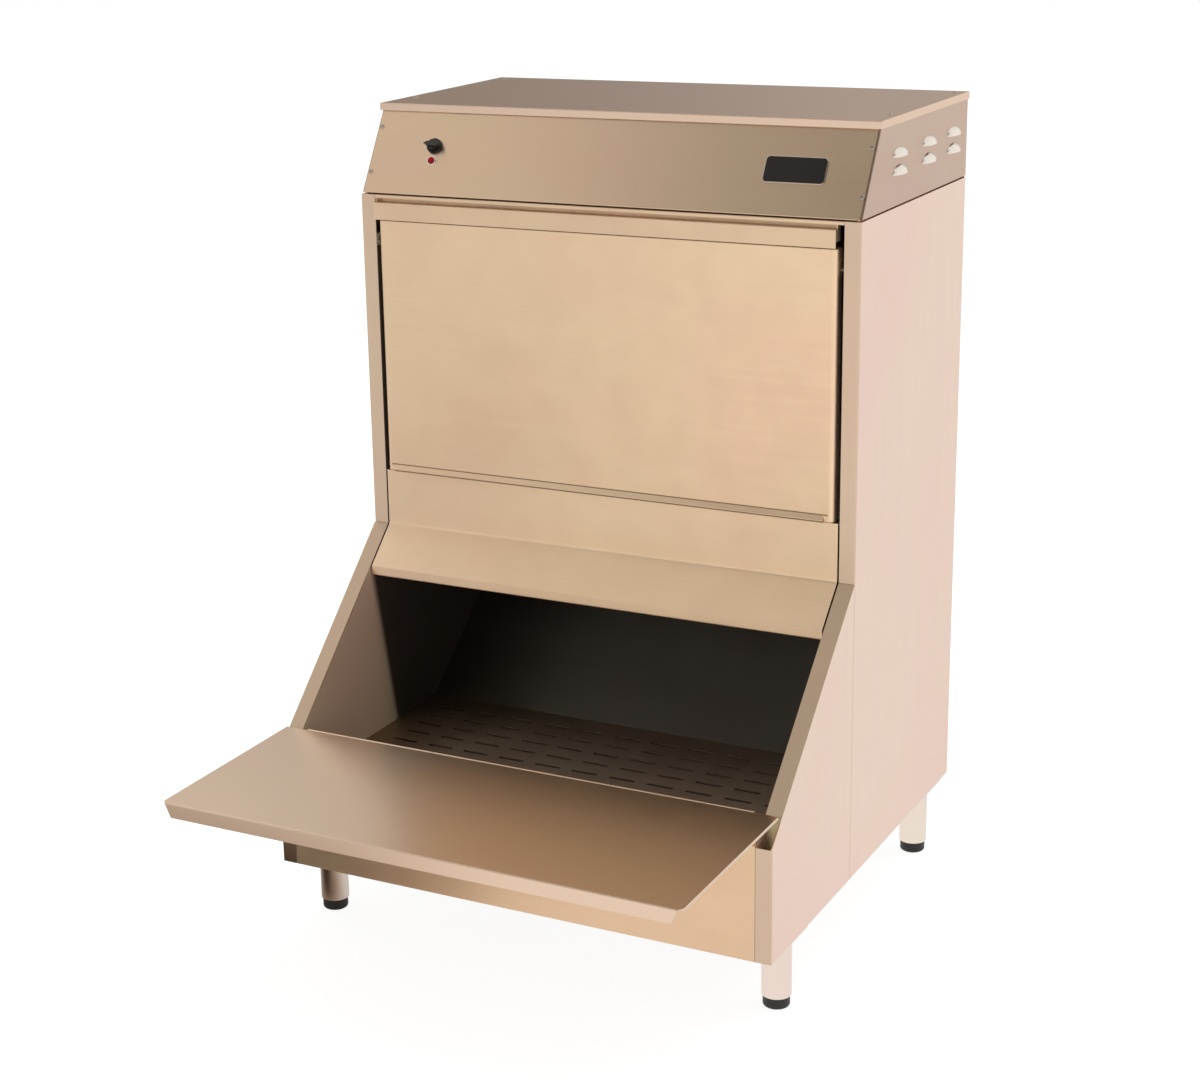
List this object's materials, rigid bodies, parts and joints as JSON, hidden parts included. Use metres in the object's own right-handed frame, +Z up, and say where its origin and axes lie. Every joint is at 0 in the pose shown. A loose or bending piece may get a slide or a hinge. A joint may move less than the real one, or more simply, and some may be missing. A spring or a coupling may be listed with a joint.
{
  "type": "chip warmer",
  "caption": "Free-standing stainless tortilla chip warmer with a lifting loading door, a sloped hopper and a fold-down serving shelf.",
  "frame": {"origin": "on the floor below the centre of the whole object with its shelf down", "axes": "+Z up, -Y towards the person who takes chips from the hopper, +X to that person's right"},
  "size_m": [0.779, 1.0142, 1.1596],
  "materials": {
    "stainless": "brushed",
    "inner_sheet": "dull mill finish",
    "bright_steel": "bright plated",
    "mineral_wool": "fibrous board",
    "black_plastic": "matt moulded",
    "knob_black": "satin moulded",
    "white_plastic": "moulded acetal",
    "cream_plastic": "moulded",
    "red_lens": "clear red",
    "badge_black": "domed gloss, left bare",
    "motor_paint": "satin black",
    "element_sheath": "oxidised sheath",
    "brass": "turned",
    "foot_rubber": "matt black"
  },
  "bodies": {
    "cabinet": {"base_pan": "inner_sheet", "base_insulation": "mineral_wool", "plenum_floor": "inner_sheet", "back_panel": "inner_sheet", "back_insulation": "mineral_wool", "duct_sheet": "inner_sheet", "back_liner": "inner_sheet", "side_panel_left": "stainless", "side_panel_right": "stainless", "hopper_side_left": "stainless", "hopper_side_right": "stainless", "side_liner_left": "inner_sheet", "side_liner_right": "inner_sheet", "side_insulation": "mineral_wool", "door_tracks": "inner_sheet", "top_rail": "stainless", "throat_panel": "stainless", "throat_liner": "inner_sheet", "front_apron": "stainless", "hopper_floor": "inner_sheet", "floor_supports": "inner_sheet", "chute_panel": "inner_sheet", "crumb_tray": "inner_sheet", "top_deck": "inner_sheet", "header_side_left": "stainless", "header_side_right": "stainless", "control_panel": "stainless", "header_back": "inner_sheet", "top_lid": "stainless", "cabinet_screws": "bright_steel", "thermostat_body": "black_plastic", "lamp_bezel": "bright_steel", "lamp_lens": "red_lens", "badge_plate": "badge_black", "hinge_fixed_leaf": "stainless", "hinge_pin": "bright_steel", "blower_housing": "inner_sheet", "blower_motor": "motor_paint", "heating_element": "element_sheath", "element_brackets": "inner_sheet", "high_limit": "black_plastic", "terminal_block": "cream_plastic", "power_gland": "black_plastic", "legs": "stainless", "leg_bolts": "bright_steel"},
    "door_carriage": {"door_rod": "bright_steel", "door_rollers": "white_plastic"},
    "upper_door": {"upper_door_skin": "stainless", "upper_door_liner": "inner_sheet", "upper_door_pull": "stainless"},
    "lower_door": {"lower_door": "stainless", "hinge_door_leaf": "stainless"},
    "knob": {"control_knob": "knob_black", "thermostat_shaft": "brass"},
    "blower_wheel": {"blower_wheel": "bright_steel"},
    "foot_front_left": {"foot_front_left": "foot_rubber"},
    "foot_front_right": {"foot_front_right": "foot_rubber"},
    "foot_rear_left": {"foot_rear_left": "foot_rubber"},
    "foot_rear_right": {"foot_rear_right": "foot_rubber"}
  },
  "joints": [
    {"name": "door_slide", "type": "slide", "parent": "cabinet", "child": "door_carriage", "axis": [0, 1, 0], "range_m": [0, 0.305]},
    {"name": "door_lift", "type": "hinge", "parent": "door_carriage", "child": "upper_door", "pos_m": [0, 0.07115, 0.97], "axis": [-1, 0, 0], "range_deg": [0, 90]},
    {"name": "lower_door_hinge", "type": "hinge", "parent": "cabinet", "child": "lower_door", "pos_m": [0, -0.20115, 0.30224], "axis": [-1, 0, 0], "range_deg": [0, 136.5]},
    {"name": "knob_turn", "type": "hinge", "parent": "cabinet", "child": "knob", "pos_m": [-0.278, 0.09906, 1.10201], "axis": [0, -0.8592, 0.5117], "range_deg": [0, 270]},
    {"name": "blower_spin", "type": "hinge", "parent": "cabinet", "child": "blower_wheel", "pos_m": [0, 0.41595, 1.092], "axis": [1, 0, 0], "continuous": true},
    {"name": "screw_front_left", "type": "slide", "parent": "cabinet", "child": "foot_front_left", "axis": [0, 0, -1], "range_m": [0, 0.025]},
    {"name": "screw_front_right", "type": "slide", "parent": "cabinet", "child": "foot_front_right", "axis": [0, 0, -1], "range_m": [0, 0.025]},
    {"name": "screw_rear_left", "type": "slide", "parent": "cabinet", "child": "foot_rear_left", "axis": [0, 0, -1], "range_m": [0, 0.025]},
    {"name": "screw_rear_right", "type": "slide", "parent": "cabinet", "child": "foot_rear_right", "axis": [0, 0, -1], "range_m": [0, 0.025]}
  ]
}
